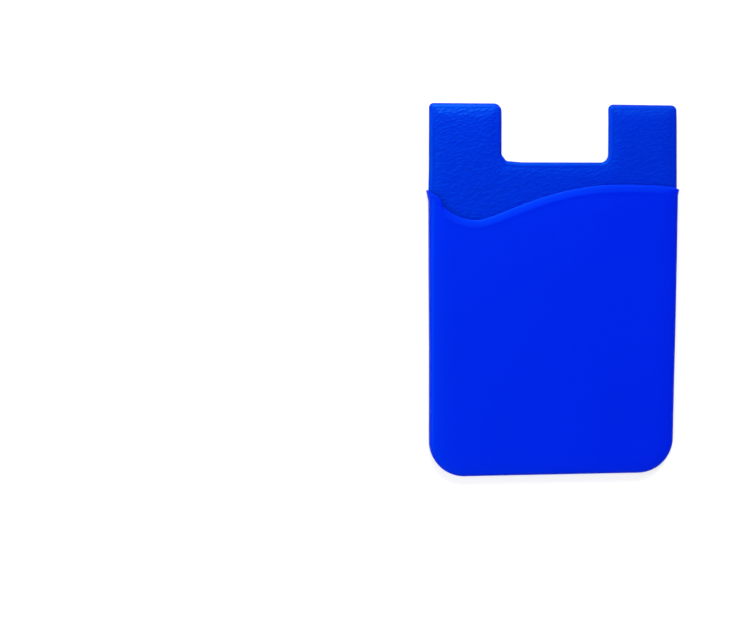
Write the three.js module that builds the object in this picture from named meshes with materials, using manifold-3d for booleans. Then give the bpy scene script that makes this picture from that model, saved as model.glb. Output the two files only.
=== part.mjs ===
// A stick-on card holder for the back of a phone, lying on its back with the pocket up.
// A silicone moulding holds the cards, and an adhesive pad under a release liner holds it to the phone.
// Millimetres. X runs across the pocket, Y towards the two lugs, Z out of the pocket's front.
// The origin is under the middle of the holder, on the surface that it lies on.
import * as THREE from "three";
import { mergeVertices } from "three/addons/utils/BufferGeometryUtils.js";
import Module from "manifold-3d";

const wasm = await Module();
wasm.setup();

// Card slot and the walls round it
const card_width = 54;
const card_side_clearance = 0.5;
const card_gap = 0.9;
const side_wall = 1.5;
const bottom_wall = 1.5;
const front_skin = 0.9;

// Back panel with its lugs and the camera notch between them
const body_length = 86;
const panel_thickness = 1.1;
const panel_edge_round = 0.4;
const bottom_corner_radius = 8.25;
const left_lug_width = 16.6;
const right_lug_width = 16.1;
const notch_depth = 13.25;
const lug_outer_radius = 1.1;
const left_lug_inner_radius = 1.8;
const right_lug_inner_radius = 1.2;
const notch_radius = 1.9;
const clipped_corner_run = 1.2;
const clipped_corner_rise = 1.4;
const clipped_floor_run = 3.6;
const clipped_floor_rise = 0.3;

// Pocket front: its outer edge and the wavy mouth, measured down from the notch floor and in from the sides
const front_edge_round = 1.2;
const crest_below_notch = 5.25;
const dip_below_crest = 8.05;
const left_ear_below_crest = 1.55;
const right_ear_below_crest = 1.05;
const dip_from_left_side = 10.9;
const crest_from_right_side = 14;
const left_ear_reach = 3.2;
const left_ear_fall = 4.3;
const dip_left_reach = 4.5;
const dip_right_reach = 4.4;
const crest_left_reach = 16.9;
const crest_right_reach = 6;
const right_ear_reach = 1.2;
const right_ear_rise = 0.9;
const ear_overhang = 0.5;
const ear_length = 2;

// Raised rim along the mouth, with a sliver of moulding flash on its left end
const rim_width = 1.8;
const rim_rise = 0.35;
const rim_edge_round = 0.3;
const flash_start = 0.2;
const flash_end = 3.2;
const flash_fall_run = 0.45;
const flash_height = 1.15;
const flash_root = 0.5;
const flash_below_rim = 0.1;

// Adhesive pad and release liner on the back
const pad_thickness = 0.4;
const pad_edge_margin = 2.5;
const pad_corner_radius = 5;
const liner_thickness = 0.15;
const liner_overhang = 0.6;

// Fineness of the curves, and how far a cutting block reaches past the moulding
const corner_steps = 7;
const large_corner_steps = 12;
const mouth_steps = 16;
const bevel_steps = 4;
const cutter_reach = 5;

const slot_half_width = card_width / 2 + card_side_clearance;
const half_width = slot_half_width + side_wall;
const half_length = body_length / 2;
const notch_left = left_lug_width - half_width;
const notch_right = half_width - right_lug_width;
const notch_floor = half_length - notch_depth;

const pad_bottom = liner_thickness;
const panel_back = pad_bottom + pad_thickness;
const panel_front = panel_back + panel_thickness;
const skin_back = panel_front + card_gap;
const skin_front = skin_back + front_skin;
const rim_front = skin_front + rim_rise;

const blue_silicone = new THREE.MeshStandardMaterial({ color: 0x0024e4, roughness: 0.5, metalness: 0 });
const clear_adhesive = new THREE.MeshStandardMaterial({ color: 0xd9d8d0, roughness: 0.35, metalness: 0 });
const liner_paper = new THREE.MeshStandardMaterial({ color: 0xeeece4, roughness: 0.6, metalness: 0 });

function solidOf(geometry) {
  geometry.deleteAttribute("normal");
  geometry.deleteAttribute("uv");
  const merged = mergeVertices(geometry);
  const vertProperties = new Float32Array(merged.attributes.position.array);
  const triVerts = new Uint32Array(merged.index.array);
  return new wasm.Manifold(new wasm.Mesh({ numProp: 3, vertProperties, triVerts }));
}

function geometryOf(solid) {
  const mesh = solid.getMesh();
  const geometry = new THREE.BufferGeometry();
  geometry.setAttribute("position", new THREE.BufferAttribute(mesh.vertProperties, 3));
  geometry.setIndex(new THREE.BufferAttribute(mesh.triVerts, 1));
  geometry.computeVertexNormals();
  return geometry;
}

// Points of a closed outline from its corners, given anticlockwise as [x, y, radius, steps]
function roundedOutline(corners) {
  const points = [];
  corners.forEach(([x, y, radius = 0, steps = corner_steps], i) => {
    const corner = new THREE.Vector2(x, y);
    if (radius === 0) {
      points.push(corner);
      return;
    }
    const before = corners[(i + corners.length - 1) % corners.length];
    const after = corners[(i + 1) % corners.length];
    const back = new THREE.Vector2(before[0], before[1]).sub(corner).normalize();
    const ahead = new THREE.Vector2(after[0], after[1]).sub(corner).normalize();
    const half_angle = Math.acos(back.dot(ahead)) / 2;
    const middle = back.clone().add(ahead).normalize();
    const centre = middle.multiplyScalar(radius / Math.sin(half_angle)).add(corner);
    const tangent_length = radius / Math.tan(half_angle);
    const start = back.multiplyScalar(tangent_length).add(corner).sub(centre).angle();
    const end = ahead.multiplyScalar(tangent_length).add(corner).sub(centre).angle();
    const sweep = Math.atan2(Math.sin(end - start), Math.cos(end - start));
    const arc = new THREE.EllipseCurve(centre.x, centre.y, radius, radius, start, end, sweep < 0);
    points.push(...arc.getPoints(steps));
  });
  return points;
}

// A flat piece between two heights, with its outer edges rounded all the way round
function slab(points, bottom, top, edge_round = 0) {
  const geometry = new THREE.ExtrudeGeometry(new THREE.Shape(points), {
    depth: top - bottom - 2 * edge_round,
    bevelEnabled: edge_round > 0,
    bevelThickness: edge_round,
    bevelSize: edge_round,
    bevelOffset: -edge_round,
    bevelSegments: bevel_steps,
  });
  geometry.translate(0, 0, bottom + edge_round);
  return solidOf(geometry);
}

function backPanel() {
  const clipped_floor = notch_floor + clipped_floor_rise;
  const outline = roundedOutline([
    [-half_width, -half_length, bottom_corner_radius, large_corner_steps],
    [half_width, -half_length, bottom_corner_radius, large_corner_steps],
    [half_width, half_length, lug_outer_radius],
    [notch_right, half_length, right_lug_inner_radius],
    [notch_right, notch_floor, notch_radius],
    [notch_left + clipped_corner_run + clipped_floor_run, notch_floor],
    [notch_left + clipped_corner_run, clipped_floor],
    [notch_left, clipped_floor + clipped_corner_rise],
    [notch_left, half_length, left_lug_inner_radius],
    [-half_width, half_length, lug_outer_radius],
  ]);
  return slab(outline, panel_back, panel_front, panel_edge_round);
}

// The wavy mouth from the left ear over the dip and the crest to the right ear
const crest = new THREE.Vector2(half_width - crest_from_right_side, notch_floor - crest_below_notch);
const dip = new THREE.Vector2(dip_from_left_side - half_width, crest.y - dip_below_crest);
const left_ear = new THREE.Vector2(-half_width, crest.y - left_ear_below_crest);
const right_ear = new THREE.Vector2(half_width, crest.y - right_ear_below_crest);

function offsetFrom(point, x, y) {
  return new THREE.Vector2(point.x + x, point.y + y);
}

const mouth = new THREE.CurvePath();
mouth.add(new THREE.CubicBezierCurve(
  left_ear,
  offsetFrom(left_ear, left_ear_reach, -left_ear_fall),
  offsetFrom(dip, -dip_left_reach, 0),
  dip,
));
mouth.add(new THREE.CubicBezierCurve(
  dip,
  offsetFrom(dip, dip_right_reach, 0),
  offsetFrom(crest, -crest_left_reach, 0),
  crest,
));
mouth.add(new THREE.CubicBezierCurve(
  crest,
  offsetFrom(crest, crest_right_reach, 0),
  offsetFrom(right_ear, -right_ear_reach, right_ear_rise),
  right_ear,
));

// The lip's points from left to right, running on past both ears
function lipPoints() {
  const points = mouth.getPoints(mouth_steps);
  const start = offsetFrom(points[0], -cutter_reach, 0);
  const end = offsetFrom(points[points.length - 1], cutter_reach, 0);
  return [start, ...points, end];
}

// The same lip moved square to itself by a distance towards the pocket's bottom
function offsetLip(distance) {
  const curves = mouth.curves;
  const points = curves.flatMap((curve, i) => {
    const steps = i === 0 ? [0] : [];
    for (let step = 1; step <= mouth_steps; step += 1) steps.push(step / mouth_steps);
    return steps.map((t) => {
      const along = curve.getTangent(t);
      return offsetFrom(curve.getPoint(t), along.y * distance, -along.x * distance);
    });
  });
  const start = offsetFrom(points[0], -cutter_reach, 0);
  const end = offsetFrom(points[points.length - 1], cutter_reach, 0);
  return [start, ...points, end];
}

function lipHeight(x) {
  const points = mouth.curves[0].getPoints(mouth_steps);
  const next = points.findIndex((point) => point.x > x);
  const share = (x - points[next - 1].x) / (points[next].x - points[next - 1].x);
  return THREE.MathUtils.lerp(points[next - 1].y, points[next].y, share);
}

// The flash climbs slowly away from the left ear, then falls steeply back to the lip
function flash() {
  const start = flash_start - half_width;
  const end = flash_end - half_width;
  const peak = end - flash_fall_run;
  const outline = [
    new THREE.Vector2(start, lipHeight(start) - flash_root),
    new THREE.Vector2(end, lipHeight(end) - flash_root),
    new THREE.Vector2(end, lipHeight(end)),
    new THREE.Vector2(peak, lipHeight(peak) + flash_height),
    new THREE.Vector2(start, lipHeight(start)),
  ];
  return slab(outline, skin_back, rim_front - flash_below_rim);
}

// Outer outline of the pocket, flared into an ear at each end of the mouth and open above it
function pocketOutline() {
  const ear_side = half_width + ear_overhang;
  return roundedOutline([
    [-half_width, -half_length, bottom_corner_radius, large_corner_steps],
    [half_width, -half_length, bottom_corner_radius, large_corner_steps],
    [half_width, right_ear.y - ear_length],
    [ear_side, right_ear.y],
    [ear_side, half_length],
    [-ear_side, half_length],
    [-ear_side, left_ear.y],
    [-half_width, left_ear.y - ear_length],
  ]);
}

function pocketFront() {
  const edge_round = Math.min(front_edge_round, side_wall);
  const wall_foot = panel_back + panel_edge_round;
  const blank_bottom = wall_foot - edge_round;
  const outline = pocketOutline();
  const lip = lipPoints();
  const far_down = -half_length - cutter_reach;
  const below_lip = [
    new THREE.Vector2(lip[0].x, far_down),
    new THREE.Vector2(lip[lip.length - 1].x, far_down),
    ...lip.slice().reverse(),
  ];
  const rim_band = [...offsetLip(rim_width), ...lip.slice().reverse()];

  const skin = slab(outline, blank_bottom, skin_front, edge_round)
    .intersect(slab(below_lip, wall_foot, rim_front + cutter_reach));
  const rim = slab(outline, blank_bottom, rim_front, edge_round)
    .intersect(slab(rim_band, skin_back, rim_front, rim_edge_round));
  return skin.add(rim).add(flash());
}

function cardSlot() {
  const corner_radius = Math.max(bottom_corner_radius - side_wall, rim_edge_round);
  const slot_bottom = -half_length + bottom_wall;
  const slot_top = half_length + cutter_reach;
  const outline = roundedOutline([
    [-slot_half_width, slot_bottom, corner_radius, large_corner_steps],
    [slot_half_width, slot_bottom, corner_radius, large_corner_steps],
    [slot_half_width, slot_top],
    [-slot_half_width, slot_top],
  ]);
  return slab(outline, panel_front, skin_back);
}

// A die-cut sheet on the back, held in from the panel's edges by a margin
function backSheet(margin, bottom, top) {
  const side = half_width - margin;
  const radius = pad_corner_radius + pad_edge_margin - margin;
  const outline = roundedOutline([
    [-side, margin - half_length, radius],
    [side, margin - half_length, radius],
    [side, notch_floor - margin, radius],
    [-side, notch_floor - margin, radius],
  ]);
  return slab(outline, bottom, top);
}

function addPiece(name, solid, material) {
  const piece = new THREE.Mesh(geometryOf(solid), material);
  piece.name = name;
  holder.add(piece);
}

const holder = new THREE.Group();
holder.name = "stick_on_card_holder";
addPiece("silicone_pocket", backPanel().add(pocketFront().subtract(cardSlot())), blue_silicone);
addPiece("adhesive_pad", backSheet(pad_edge_margin, pad_bottom, panel_back), clear_adhesive);
addPiece("release_liner", backSheet(pad_edge_margin - liner_overhang, 0, liner_thickness), liner_paper);

export default holder;
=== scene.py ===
import math

import bmesh
import bpy
from mathutils import Matrix, Vector, kdtree, noise
from mathutils.geometry import interpolate_bezier


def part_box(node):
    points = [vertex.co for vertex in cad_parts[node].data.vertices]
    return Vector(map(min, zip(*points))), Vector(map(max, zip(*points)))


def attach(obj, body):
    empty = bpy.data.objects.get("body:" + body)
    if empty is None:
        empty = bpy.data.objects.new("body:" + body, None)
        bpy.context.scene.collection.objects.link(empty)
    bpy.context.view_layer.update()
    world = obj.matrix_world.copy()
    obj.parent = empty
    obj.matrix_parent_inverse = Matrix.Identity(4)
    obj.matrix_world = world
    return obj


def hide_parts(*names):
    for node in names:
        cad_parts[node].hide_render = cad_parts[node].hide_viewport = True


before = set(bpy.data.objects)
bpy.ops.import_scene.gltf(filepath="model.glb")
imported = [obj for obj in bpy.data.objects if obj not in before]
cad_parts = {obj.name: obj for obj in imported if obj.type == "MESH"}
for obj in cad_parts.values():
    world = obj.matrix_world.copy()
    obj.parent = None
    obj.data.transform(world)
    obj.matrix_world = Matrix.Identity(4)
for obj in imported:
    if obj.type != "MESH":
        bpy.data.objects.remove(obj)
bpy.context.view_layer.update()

# The silicone pocket is one soft moulding: a thin back panel with two lugs and a camera notch,
# and over it a smooth front skin whose wavy mouth ends in a soft rim. The skin joins the panel
# along both sides and the bottom, which leaves a flat slot for a payment card.
mm = 0.001
# Points nearer to each other than this count as touching
touching = 0.0001 * mm
pocket_low, pocket_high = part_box("silicone_pocket")
ear_overhang = 0.5 * mm
half_width = pocket_high.x - ear_overhang
half_length = pocket_high.y
panel_thickness = 1.1 * mm
slot_height = 0.9 * mm
rim_rise = 0.35 * mm
panel_back = pocket_low.z
panel_front = panel_back + panel_thickness
skin_back = panel_front + slot_height
rim_front = pocket_high.z
skin_front = rim_front - rim_rise


def front_edge(width, height, steps, end_slope=0.0, crown_width=0.0):
    """The rounded front edge from the wall inwards, as (inset, height below the front) pairs.

    With an end slope, the edge runs on into a low crown that levels out over the crown's width.
    """
    crown = end_slope * crown_width / 2
    crown_steps = 6 if crown > 0 else 0
    last_angle = math.atan2(height / width, end_slope)
    points = []
    for step in range(steps + 1):
        angle = last_angle * step / steps
        drop = height * (math.sin(last_angle) - math.sin(angle))
        points.append((width * (1 - math.cos(angle)), crown + drop))
    start = points[-1][0]
    for step in range(1, crown_steps + 1):
        part = step / crown_steps
        points.append((start + crown_width * part, crown * (1 - part) ** 2))
    return points


def rounded_slab(corners, bottom, top, front=(), back_round=0.0):
    """A closed slab from corners (x, y, radius) given anticlockwise, with its two rims shaped."""
    slab = bmesh.new()
    wide_corner = 4 * mm
    points = [slab.verts.new((x, y, bottom)) for x, y, radius in corners]
    slab.faces.new(points)
    for point, (x, y, radius) in zip(points, corners):
        if radius > 0:
            steps = 24 if radius > wide_corner else 10
            bmesh.ops.bevel(slab, geom=[point], offset=radius, segments=steps, profile=0.5,
                            affect="VERTICES", material=-1)
    lifted = bmesh.ops.extrude_face_region(slab, geom=slab.faces[:])["geom"]
    lifted = [part for part in lifted if isinstance(part, bmesh.types.BMVert)]
    wall_top = top - (front[0][1] if front else 0)
    bmesh.ops.translate(slab, verts=lifted, vec=(0, 0, wall_top - bottom))
    bmesh.ops.recalc_face_normals(slab, faces=slab.faces)
    front_face = max(slab.faces, key=lambda face: face.calc_center_median().z)
    for (inset, drop), (next_inset, next_drop) in zip(front, front[1:]):
        bmesh.ops.inset_region(slab, faces=[front_face], thickness=next_inset - inset,
                               depth=drop - next_drop, use_even_offset=True)
    if back_round > 0:
        back_rim = [
            edge for edge in slab.edges if all(abs(v.co.z - bottom) < touching for v in edge.verts)
        ]
        bmesh.ops.bevel(slab, geom=back_rim, offset=back_round, segments=5, profile=0.5,
                        affect="EDGES", material=-1)
    return slab


def as_object(shape, name):
    mesh = bpy.data.meshes.new(name)
    shape.to_mesh(mesh)
    shape.free()
    piece = bpy.data.objects.new(name, mesh)
    bpy.context.collection.objects.link(piece)
    return piece


def combine(piece, tool, operation):
    """Joins, cuts or keeps the overlap of two closed shapes, and leaves the first one holding it."""
    step = piece.modifiers.new(operation, "BOOLEAN")
    step.operation = operation
    step.solver = "MANIFOLD"
    step.object = tool
    view = bpy.context.evaluated_depsgraph_get()
    result = bpy.data.meshes.new_from_object(piece.evaluated_get(view))
    piece.modifiers.remove(step)
    piece.data = result
    bpy.data.objects.remove(tool)
    return piece


crest = Vector((half_width - 14 * mm, half_length - 18.5 * mm, 0))
dip = Vector((10.9 * mm - half_width, crest.y - 8.05 * mm, 0))
left_ear = Vector((-half_width, crest.y - 1.55 * mm, 0))
right_ear = Vector((half_width, crest.y - 1.05 * mm, 0))

# The soft moulding has set a little out of true, so its sides and ends bow by a few tenths
notch_left = -half_width + 16.85 * mm
notch_right = half_width - 16.15 * mm
notch_floor = half_length - 13.29 * mm
panel_corner = 8.2 * mm
panel_crown_slope = 0.16
panel_crown_width = 2.8 * mm
panel_crown = panel_crown_slope * panel_crown_width / 2
panel_flat = panel_front - panel_crown
panel = rounded_slab(
    [
        (-half_width + 0.1 * mm, -half_length, panel_corner),
        (half_width, -half_length, panel_corner),
        (half_width, right_ear.y - 1.5 * mm, 0),
        (half_width + 0.42 * mm, right_ear.y + 0.3 * mm, 0),
        (half_width + 0.01 * mm, half_length - 0.05 * mm, 1.2 * mm),
        (notch_right - 0.01 * mm, half_length + 0.05 * mm, 1.2 * mm),
        (notch_right + 0.09 * mm, notch_floor, 1.9 * mm),
        (notch_left + 4.7 * mm, notch_floor, 0),
        (notch_left + 1.1 * mm, notch_floor + 0.3 * mm, 0.3 * mm),
        (notch_left, notch_floor + 1.7 * mm, 0.4 * mm),
        (notch_left - 0.05 * mm, half_length + 0.12 * mm, 1.8 * mm),
        (-half_width + 0.05 * mm, half_length + 0.12 * mm, 1.1 * mm),
        (-half_width, left_ear.y + 5 * mm, 0),
        (-half_width - 0.1 * mm, left_ear.y + 0.5 * mm, 0),
        (-half_width, left_ear.y - 3 * mm, 0),
    ],
    panel_back, panel_flat, front_edge(1.4 * mm, 0.62 * mm, 9, panel_crown_slope), 0.15 * mm,
)


# The exposed front of the panel carries the grain, so it is cut into a fine, even net there
grain_start = 13 * mm
net_step = 1.2 * mm
net_cuts = 7


def cut_across(shape, positions, normal):
    for position in positions:
        everything = shape.verts[:] + shape.edges[:] + shape.faces[:]
        bmesh.ops.bisect_plane(shape, geom=everything, dist=touching,
                               plane_co=normal * position, plane_no=normal)


columns = int(half_width / net_step)
rows = int((half_length - grain_start) / net_step)
cut_across(panel, [column * net_step for column in range(-columns, columns + 1)], Vector((1, 0, 0)))
cut_across(panel, [grain_start + row * net_step for row in range(rows + 1)], Vector((0, 1, 0)))
grained = [
    face for face in panel.faces
    if face.calc_center_median().y > grain_start
    and all(v.co.z > panel_flat - touching for v in face.verts)
]
many_sided = [face for face in grained if len(face.verts) > 4]
grained = [face for face in grained if len(face.verts) <= 4]
grained += bmesh.ops.triangulate(panel, faces=many_sided)["faces"]
grained_edges = list(dict.fromkeys(edge for face in grained for edge in face.edges))
bmesh.ops.subdivide_edges(panel, edges=grained_edges, cuts=net_cuts, use_grid_fill=True)

# Leather grain: low pebbles, wider than they are tall, with narrow creases that rise to the right.
# The seed makes the pebbles drift in the same way each time the script runs.
noise.seed_set(1)
panel.normal_update()
flat_enough = 0.999
grained = [
    v for v in panel.verts
    if v.co.y > grain_start - touching and abs(v.co.z - panel_flat) < touching
]
borders = [
    v for v in grained
    if v.co.y < grain_start + touching or any(face.normal.z < flat_enough for face in v.link_faces)
]
border_tree = kdtree.KDTree(len(borders))
for number, v in enumerate(borders):
    border_tree.insert(v.co, number)
border_tree.balance()
pebble_width = 1.7 * mm
pebble_height = 0.75 * mm
drift_size = 2.6 * mm
drift_reach = 0.55
grain_slant = 0.28
crease_width = 0.34
crease_depth = 0.054 * mm
swell_size = 1.3 * mm
swell_share = 0.35
plain_border = 0.3 * mm
for v in grained:
    drift = noise.noise_vector(v.co / drift_size) * drift_reach
    height = v.co.y - grain_slant * v.co.x
    spot = Vector((v.co.x / pebble_width + drift.x, height / pebble_height + drift.y, 0))
    nearest, second = noise.voronoi(spot)[0][:2]
    crease = 1 - min((second - nearest) / crease_width, 1)
    swell = noise.noise(v.co / swell_size + Vector((7, 3, 0)))
    inside = border_tree.find(v.co)[2]
    fade = min(inside / plain_border, 1)
    v.co.z += panel_crown * (1 - max(1 - inside / panel_crown_width, 0) ** 2)
    v.co.z -= fade * crease_depth * (crease * crease * (3 - 2 * crease) + swell_share * (1 - swell))


def along(point, x, y):
    return point + Vector((x, y, 0)) * mm


# The lip runs from ear to ear through the dip and the crest, and past both sides at its ends
end_points = 33
middle_points = 65
lip = interpolate_bezier(left_ear, along(left_ear, 3.2, -4.3), along(dip, -4.5, 0), dip, end_points)
lip += interpolate_bezier(dip, along(dip, 4.4, 0), along(crest, -16.9, 0), crest, middle_points)[1:]
lip += interpolate_bezier(crest, along(crest, 6, 0), along(right_ear, -1.2, 0.9), right_ear, end_points)[1:]
lip = [along(left_ear, -3, 0.4), along(left_ear, -0.6, 0.35)] + lip + [along(right_ear, 3, -0.3)]

pocket_corner = 8.25 * mm
pocket_corners = [
    (-half_width + 0.02 * mm, -half_length - 0.15 * mm, pocket_corner),
    (half_width + 0.1 * mm, -half_length - 0.27 * mm, pocket_corner),
    (half_width + 0.14 * mm, -half_length / 2, 0),
    (half_width + 0.22 * mm, -8 * mm, 0),
    (half_width + 0.22 * mm, 8 * mm, 0),
    (half_width + 0.17 * mm, right_ear.y - 1.4 * mm, 0),
    (half_width + ear_overhang, right_ear.y + 0.1 * mm, 0),
    (half_width + ear_overhang, half_length, 0),
    (-half_width - 0.65 * mm, half_length, 0),
    (-half_width - 0.65 * mm, left_ear.y, 0),
    (-half_width - 0.15 * mm, left_ear.y - 2 * mm, 0),
    (-half_width - 0.1 * mm, 6 * mm, 0),
    (-half_width + 0.02 * mm, -half_length / 3, 0),
]
skin_edge = front_edge(1.15 * mm, 0.95 * mm, 8, 0.15, 3.6 * mm)
skin = as_object(rounded_slab(pocket_corners, panel_back, skin_front, skin_edge, 0.4 * mm), "pocket")

# What is kept of the skin: all of it well below the lip, and the band of the mouth up to the lip
headings = [(after - before).normalized() for before, after in zip([lip[0]] + lip[:-1], lip[1:] + [lip[-1]])]
mouth_band = 4.2 * mm
band_end = [point + Vector((heading.y, -heading.x, 0)) * mouth_band for point, heading in zip(lip, headings)]
far_down = -half_length - 5 * mm
below_lip = [(band_end[0].x, far_down, 0), (band_end[-1].x, far_down, 0)]
below_lip += [(point.x, point.y, 0) for point in reversed(band_end)]
kept = as_object(rounded_slab(below_lip, panel_back - mm, rim_front + mm), "kept")

# The band's section: the lip's upright face, a rim that tips towards the mouth, a faint soft step
# down from it, and the skin bending down very slightly towards the rim
rim_section = [
    (0.0, -4.0), (0.0, -0.53), (0.02, -0.45), (0.06, -0.39), (0.12, -0.348), (0.2, -0.315), (0.32, -0.278),
    (0.6, -0.205), (0.95, -0.13), (1.3, -0.064), (1.6, -0.01), (1.72, 0.002), (1.84, 0.002), (1.98, -0.01),
    (2.12, -0.022), (2.3, -0.032), (2.5, -0.035), (2.9, -0.028), (3.4, -0.015), (3.9, -0.002), (4.2, 0.008),
    (4.4, 0.02), (4.4, -4.0),
]
rim = bmesh.new()
section = [rim.verts.new((0, -across * mm, skin_front + rise * mm)) for across, rise in rim_section]
cross_faces = [rim.faces.new(section)]
placed = Matrix.Identity(4)
for point, heading in zip(lip, headings):
    turned = Matrix.Translation(point) @ Matrix.Rotation(math.atan2(heading.y, heading.x), 4, "Z")
    moved = rim.verts[:]
    if point is not lip[0]:
        swept = bmesh.ops.extrude_face_region(rim, geom=cross_faces[-1:])["geom"]
        cross_faces += [part for part in swept if isinstance(part, bmesh.types.BMFace)]
        moved = [part for part in swept if isinstance(part, bmesh.types.BMVert)]
    bmesh.ops.transform(rim, matrix=turned @ placed.inverted(), verts=moved)
    placed = turned
bmesh.ops.delete(rim, geom=cross_faces[1:-1], context="FACES_ONLY")
bmesh.ops.recalc_face_normals(rim, faces=rim.faces[:])
combine(kept, as_object(rim, "rim"), "UNION")
combine(skin, kept, "INTERSECT")

# A sliver of flash stands out from the lip beside the left ear, where the mould did not close
flash_start = -half_width + 0.2 * mm
flash_peak = -half_width + 2.5 * mm
flash_end = -half_width + 2.95 * mm
flash = rounded_slab(
    [
        (flash_start, left_ear.y - 1.2 * mm, 0),
        (flash_end, dip.y + 1.5 * mm, 0),
        (flash_end, dip.y + 3.1 * mm, 0.1 * mm),
        (flash_peak, dip.y + 4.6 * mm, 0.25 * mm),
        (flash_start, left_ear.y - 0.2 * mm, 0),
    ],
    skin_back + 0.1 * mm, skin_front - 0.14 * mm, front_edge(0.25 * mm, 0.2 * mm, 3),
)
combine(skin, as_object(flash, "flash"), "UNION")

# The card slot is open at the mouth, and a wall closes it at both sides and the bottom
side_wall = 1.5 * mm
slot_half_width = half_width - side_wall
slot_bottom = -half_length + side_wall
slot_corner = 6.75 * mm
slot = rounded_slab(
    [
        (-slot_half_width, slot_bottom, slot_corner),
        (slot_half_width, slot_bottom, slot_corner),
        (slot_half_width, half_length + mm, 0),
        (-slot_half_width, half_length + mm, 0),
    ],
    panel_front - 0.3 * mm, skin_back,
)
combine(skin, as_object(slot, "slot"), "DIFFERENCE")

pocket = combine(as_object(panel, "pocket_moulding"), skin, "UNION")

# No adhesive lies under the lugs, so their free tips sag a little
sag = 0.38 * mm
sag_length = 5.5 * mm
for v in pocket.data.vertices:
    beyond = max(v.co.y - (half_length - sag_length), 0)
    v.co.z -= sag * (beyond / sag_length) ** 3
pocket.data.shade_smooth()
pocket.data.set_sharp_from_angle(angle=math.radians(38))

# The exposed panel is matt and the skin is smooth: one value per point tells them apart. It also switches
# the panel to a darker, greener blue, which is painted shade from the grain's creases and a painted sheen.
matt_and_painted_shade = pocket.data.attributes.new("matt_and_painted_shade", "FLOAT", "POINT")
for v in pocket.data.vertices:
    on_panel = v.co.y > grain_start and v.co.z < panel_front + 0.01 * mm
    matt_and_painted_shade.data[v.index].value = 1.0 if on_panel else 0.0

silicone = bpy.data.materials.new("satin_blue_silicone")
silicone.use_nodes = True
nodes = silicone.node_tree.nodes
links = silicone.node_tree.links
shader = nodes["Principled BSDF"]
shader.inputs["IOR"].default_value = 1.41
shader.inputs["Specular Tint"].default_value = (0.0, 0.9, 1.0, 1.0)
shader.inputs["Subsurface Weight"].default_value = 1.0
shader.inputs["Subsurface Radius"].default_value = (0.3, 0.6, 1.0)
shader.inputs["Subsurface Scale"].default_value = 0.5 * mm
place = nodes.new("ShaderNodeTexCoord")
finish_and_painted_shade = nodes.new("ShaderNodeAttribute")
finish_and_painted_shade.attribute_name = "matt_and_painted_shade"
cloudy = nodes.new("ShaderNodeTexNoise")
cloudy.inputs["Scale"].default_value = 60
cloudy.inputs["Detail"].default_value = 3
links.new(place.outputs["Object"], cloudy.inputs["Vector"])
smooth_blue = nodes.new("ShaderNodeValToRGB")
smooth_blue.color_ramp.elements[0].color = (0.0, 0.0045, 0.71, 1)
smooth_blue.color_ramp.elements[1].color = (0.0, 0.006, 0.75, 1)
links.new(cloudy.outputs["Fac"], smooth_blue.inputs["Fac"])
# The panel's blue is darker and greener than the skin's, though both are the same silicone: painted shade
# from the grain's creases and a painted sheen.
painted_shade_and_sheen_blue = nodes.new("ShaderNodeValToRGB")
painted_shade_and_sheen_blue.color_ramp.elements[0].color = (0.0, 0.0115, 0.575, 1)
painted_shade_and_sheen_blue.color_ramp.elements[1].color = (0.0, 0.0155, 0.615, 1)
links.new(cloudy.outputs["Fac"], painted_shade_and_sheen_blue.inputs["Fac"])
# Where the value marks the panel, the mix takes the painted shade and sheen blue.
blue = nodes.new("ShaderNodeMix")
blue.data_type = "RGBA"
mix_factor = blue.inputs[0]
color_where_smooth = blue.inputs[6]
color_where_painted_shade = blue.inputs[7]
mixed_color = blue.outputs[2]
links.new(finish_and_painted_shade.outputs["Fac"], mix_factor)
links.new(smooth_blue.outputs["Color"], color_where_smooth)
links.new(painted_shade_and_sheen_blue.outputs["Color"], color_where_painted_shade)
links.new(mixed_color, shader.inputs["Base Color"])
roughness = nodes.new("ShaderNodeMapRange")
roughness.inputs["To Min"].default_value = 0.5
roughness.inputs["To Max"].default_value = 0.48
links.new(finish_and_painted_shade.outputs["Fac"], roughness.inputs["Value"])
links.new(roughness.outputs["Result"], shader.inputs["Roughness"])
pores = nodes.new("ShaderNodeTexNoise")
pores.inputs["Scale"].default_value = 5000
pores.inputs["Detail"].default_value = 2
links.new(place.outputs["Object"], pores.inputs["Vector"])
pore_bump = nodes.new("ShaderNodeBump")
pore_bump.inputs["Strength"].default_value = 0.25
pore_bump.inputs["Distance"].default_value = 0.02 * mm
links.new(pores.outputs["Fac"], pore_bump.inputs["Height"])
links.new(pore_bump.outputs["Normal"], shader.inputs["Normal"])
pocket.data.materials.clear()
pocket.data.materials.append(silicone)
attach(pocket, "root")
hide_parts("silicone_pocket")

# The adhesive pad is a die-cut sheet of clear acrylic, stuck to the back of the panel. Its solid has
# the right shape, so only its material is made here: a slightly milky film with a wet gloss.
adhesive_pad = bpy.data.objects["adhesive_pad"]
film = bpy.data.materials.new("clear_acrylic_film")
film.use_nodes = True
nodes = film.node_tree.nodes
links = film.node_tree.links
shader = nodes["Principled BSDF"]
shader.inputs["Roughness"].default_value = 0.22
shader.inputs["IOR"].default_value = 1.47
place = nodes.new("ShaderNodeTexCoord")
haze = nodes.new("ShaderNodeTexNoise")
haze.inputs["Scale"].default_value = 140
haze.inputs["Detail"].default_value = 4
links.new(place.outputs["Object"], haze.inputs["Vector"])
milky = nodes.new("ShaderNodeValToRGB")
milky.color_ramp.elements[0].color = (0.63, 0.62, 0.57, 1)
milky.color_ramp.elements[1].color = (0.74, 0.73, 0.68, 1)
links.new(haze.outputs["Fac"], milky.inputs["Fac"])
links.new(milky.outputs["Color"], shader.inputs["Base Color"])
adhesive_pad.data.materials.clear()
adhesive_pad.data.materials.append(film)

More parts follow.
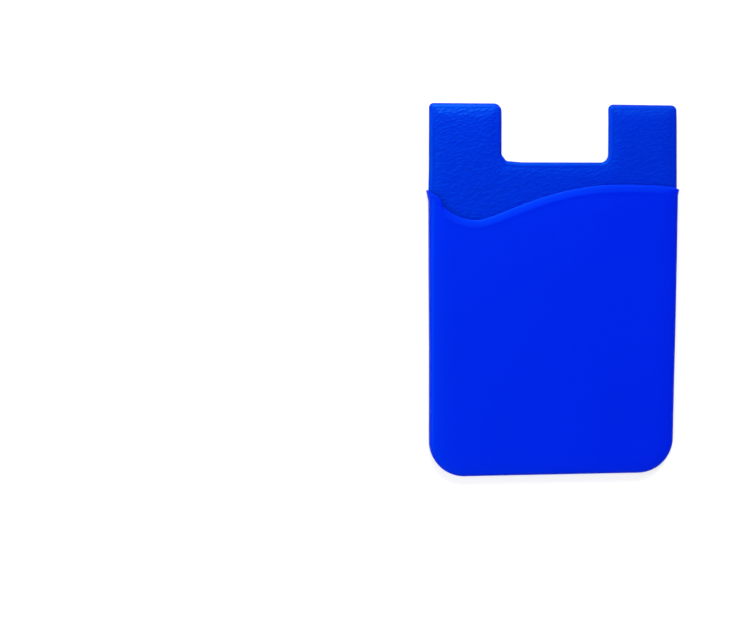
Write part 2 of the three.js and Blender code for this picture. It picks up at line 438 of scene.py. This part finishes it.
# The release liner is coated paper, a little larger than the adhesive. It is cut by the same die and
# split across by a wavy slit, where the user bends it open and peels each half away.
liner_low, liner_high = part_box("release_liner")
liner_corner = 5.6 * mm
liner = as_object(
    rounded_slab(
        [
            (liner_low.x, liner_low.y, liner_corner),
            (liner_high.x, liner_low.y, liner_corner),
            (liner_high.x, liner_high.y, liner_corner),
            (liner_low.x, liner_high.y, liner_corner),
        ],
        liner_low.z, liner_high.z,
    ),
    "liner_sheet",
)
slit_half_width = 0.06 * mm
slit_wave = 2.2 * mm
slit_middle = (liner_low.y + liner_high.y) / 2
slit_steps = 72
slit_reach = liner_high.x + mm
slit_waves = 2
slit_points = [
    (
        -slit_reach + 2 * slit_reach * step / slit_steps,
        slit_wave * math.sin(step / slit_steps * math.tau * slit_waves),
    )
    for step in range(slit_steps + 1)
]
slit = [(x, slit_middle + wave - slit_half_width, 0) for x, wave in slit_points]
slit += [(x, slit_middle + wave + slit_half_width, 0) for x, wave in reversed(slit_points)]
combine(liner, as_object(rounded_slab(slit, liner_low.z - mm, liner_high.z + mm), "slit"), "DIFFERENCE")

paper = bpy.data.materials.new("coated_liner_paper")
paper.use_nodes = True
nodes = paper.node_tree.nodes
links = paper.node_tree.links
shader = nodes["Principled BSDF"]
shader.inputs["Roughness"].default_value = 0.5
place = nodes.new("ShaderNodeTexCoord")
fibres = nodes.new("ShaderNodeTexNoise")
fibres.inputs["Scale"].default_value = 900
fibres.inputs["Detail"].default_value = 5
links.new(place.outputs["Object"], fibres.inputs["Vector"])
cream = nodes.new("ShaderNodeValToRGB")
cream.color_ramp.elements[0].color = (0.80, 0.78, 0.71, 1)
cream.color_ramp.elements[1].color = (0.90, 0.88, 0.82, 1)
links.new(fibres.outputs["Fac"], cream.inputs["Fac"])
links.new(cream.outputs["Color"], shader.inputs["Base Color"])
fibre_bump = nodes.new("ShaderNodeBump")
fibre_bump.inputs["Strength"].default_value = 0.3
fibre_bump.inputs["Distance"].default_value = 0.02 * mm
links.new(fibres.outputs["Fac"], fibre_bump.inputs["Height"])
links.new(fibre_bump.outputs["Normal"], shader.inputs["Normal"])
liner.data.materials.clear()
liner.data.materials.append(paper)
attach(liner, "root")
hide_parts("release_liner")

# The floor is a plain white sheet, so that only the holder's soft shadow shows on it
ground = bmesh.new()
bmesh.ops.create_grid(ground, x_segments=1, y_segments=1, size=2)
bmesh.ops.translate(ground, verts=ground.verts, vec=(0, 0, -0.1 * mm))
floor = as_object(ground, "floor")
sheet = bpy.data.materials.new("white_sheet")
sheet.use_nodes = True
nodes = sheet.node_tree.nodes
links = sheet.node_tree.links
shader = nodes["Principled BSDF"]
shader.inputs["Base Color"].default_value = (0.55, 0.55, 0.55, 1)
shader.inputs["Roughness"].default_value = 0.9
shader.inputs["Specular IOR Level"].default_value = 0.2
shader.inputs["Emission Color"].default_value = (1, 1, 1, 1)
rays = nodes.new("ShaderNodeLightPath")
seen = nodes.new("ShaderNodeMath")
seen.operation = "ADD"
links.new(rays.outputs["Is Camera Ray"], seen.inputs[0])
links.new(rays.outputs["Is Glossy Ray"], seen.inputs[1])
seen_or_through = nodes.new("ShaderNodeMath")
seen_or_through.operation = "ADD"
links.new(seen.outputs["Value"], seen_or_through.inputs[0])
links.new(rays.outputs["Is Transmission Ray"], seen_or_through.inputs[1])
glow = nodes.new("ShaderNodeMath")
glow.operation = "MULTIPLY"
glow.inputs[1].default_value = 0.55
links.new(seen_or_through.outputs["Value"], glow.inputs[0])
links.new(glow.outputs["Value"], shader.inputs["Emission Strength"])
floor.data.materials.append(sheet)

# Soft studio light: an even white surround, a large far lamp beyond the lugs, a nearer one at the
# left, a tiny one close behind the left lug and a weak one at the rounded end
world = bpy.data.worlds.new("studio")
bpy.context.scene.world = world
world.use_nodes = True
world.node_tree.nodes["Background"].inputs["Color"].default_value = (1, 1, 1, 1)
world.node_tree.nodes["Background"].inputs["Strength"].default_value = 0.22


def soft_light(name, place, aim, size, power):
    lamp = bpy.data.lights.new(name, "AREA")
    lamp.size = size
    lamp.energy = power
    light = bpy.data.objects.new(name, lamp)
    light.location = place
    light.rotation_euler = (Vector(aim) - Vector(place)).to_track_quat("-Z", "Y").to_euler()
    light.visible_camera = False
    bpy.context.collection.objects.link(light)


soft_light("far", (0, 2.76, 2.32), (0, 0, 0), 1.5, 97)
soft_light("left", (-0.56, -0.04, 0.62), (0, 0, 0), 0.6, 3.85)
soft_light("end", (-0.06, -0.25, 0.25), (0, -0.03, 0), 0.2, 0.16)
soft_light("behind", (-0.025, 0.09, 0.035), (-0.01, 0.03, 0), 0.03, 0.019)

camera = bpy.data.objects.new("camera", bpy.data.cameras.new("camera"))
camera.data.lens = 48
camera.data.sensor_width = 36
camera.data.clip_start = 0.01
camera.location = (-0.05999, 0.01318, 0.22978)
camera.rotation_euler = [math.radians(angle) for angle in (-4.437, -4.641, -0.178)]
bpy.context.collection.objects.link(camera)
bpy.context.scene.camera = camera
bpy.context.scene.view_settings.view_transform = "Standard"
